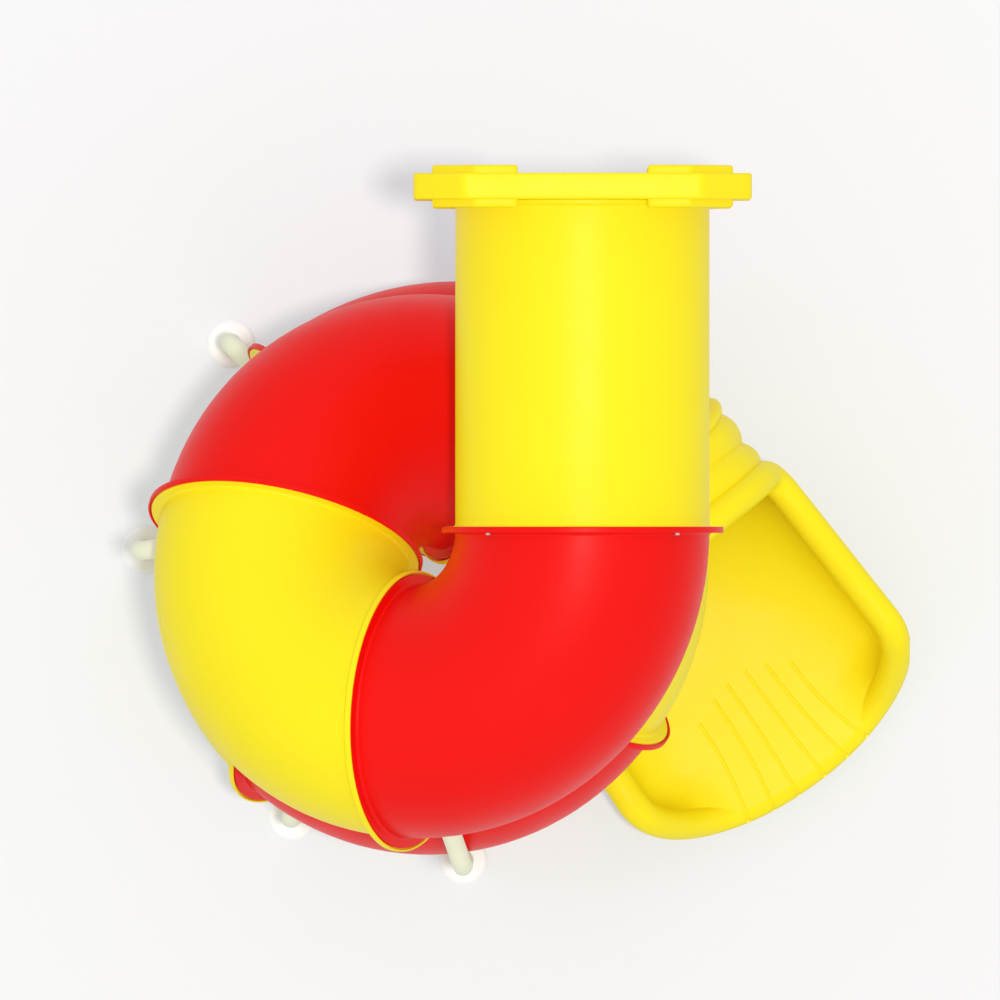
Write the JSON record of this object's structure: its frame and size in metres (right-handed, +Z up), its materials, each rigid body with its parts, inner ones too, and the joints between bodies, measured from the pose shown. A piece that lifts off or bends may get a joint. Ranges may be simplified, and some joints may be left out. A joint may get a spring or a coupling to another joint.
{
  "type": "spiral tube slide",
  "caption": "Enclosed spiral tube slide with an entrance panel, flanged elbows in two colours, bent pipe supports and an open exit chute.",
  "frame": {"origin": "on the ground, under the middle of the bounding box", "axes": "+Z up, +Y out of the entrance panel towards the deck, so the slide starts off towards -Y and winds down clockwise seen from above"},
  "size_m": [2.4538, 2.2148, 3.561],
  "materials": {
    "yellow_plastic": "rotationally moulded polyethylene, yellow, soft gloss",
    "red_plastic": "rotationally moulded polyethylene, red, soft gloss",
    "ivory_paint": "powder coated steel pipe, ivory",
    "white_plastic": "moulded plastic cover, off-white",
    "zinc_steel": "zinc plated steel"
  },
  "bodies": {
    "root": {"elbow_1": "red_plastic", "elbow_2": "yellow_plastic", "elbow_3": "red_plastic", "elbow_4": "yellow_plastic", "elbow_5": "red_plastic", "elbow_6": "yellow_plastic", "elbow_7": "red_plastic", "entrance_panel": "yellow_plastic", "exit_chute": "yellow_plastic", "exit_leg": "ivory_paint", "exit_leg_bolt_1": "zinc_steel", "exit_leg_bolt_2": "zinc_steel", "exit_leg_cover": "white_plastic", "joint_1_bolt_1": "zinc_steel", "joint_1_bolt_2": "zinc_steel", "joint_1_bolt_3": "zinc_steel", "joint_1_bolt_4": "zinc_steel", "joint_2_bolt_1": "zinc_steel", "joint_2_bolt_2": "zinc_steel", "joint_2_bolt_3": "zinc_steel", "joint_2_bolt_4": "zinc_steel", "joint_3_bolt_1": "zinc_steel", "joint_3_bolt_2": "zinc_steel", "joint_3_bolt_3": "zinc_steel", "joint_3_bolt_4": "zinc_steel", "joint_4_bolt_1": "zinc_steel", "joint_4_bolt_2": "zinc_steel", "joint_4_bolt_3": "zinc_steel", "joint_4_bolt_4": "zinc_steel", "joint_5_bolt_1": "zinc_steel", "joint_5_bolt_2": "zinc_steel", "joint_5_bolt_3": "zinc_steel", "joint_5_bolt_4": "zinc_steel", "joint_6_bolt_1": "zinc_steel", "joint_6_bolt_2": "zinc_steel", "joint_6_bolt_3": "zinc_steel", "joint_6_bolt_4": "zinc_steel", "joint_7_bolt_1": "zinc_steel", "joint_7_bolt_2": "zinc_steel", "joint_7_bolt_3": "zinc_steel", "joint_7_bolt_4": "zinc_steel", "joint_8_bolt_1": "zinc_steel", "joint_8_bolt_2": "zinc_steel", "joint_8_bolt_3": "zinc_steel", "joint_8_bolt_4": "zinc_steel", "panel_bolt_1": "zinc_steel", "panel_bolt_2": "zinc_steel", "panel_bolt_3": "zinc_steel", "panel_bolt_4": "zinc_steel", "post_cover_1": "white_plastic", "post_cover_2": "white_plastic", "post_cover_3": "white_plastic", "post_cover_4": "white_plastic", "post_cover_5": "white_plastic", "straight_tube": "yellow_plastic", "support_1": "ivory_paint", "support_2": "ivory_paint", "support_3": "ivory_paint", "support_4": "ivory_paint", "support_5": "ivory_paint"}
  },
  "joints": []
}
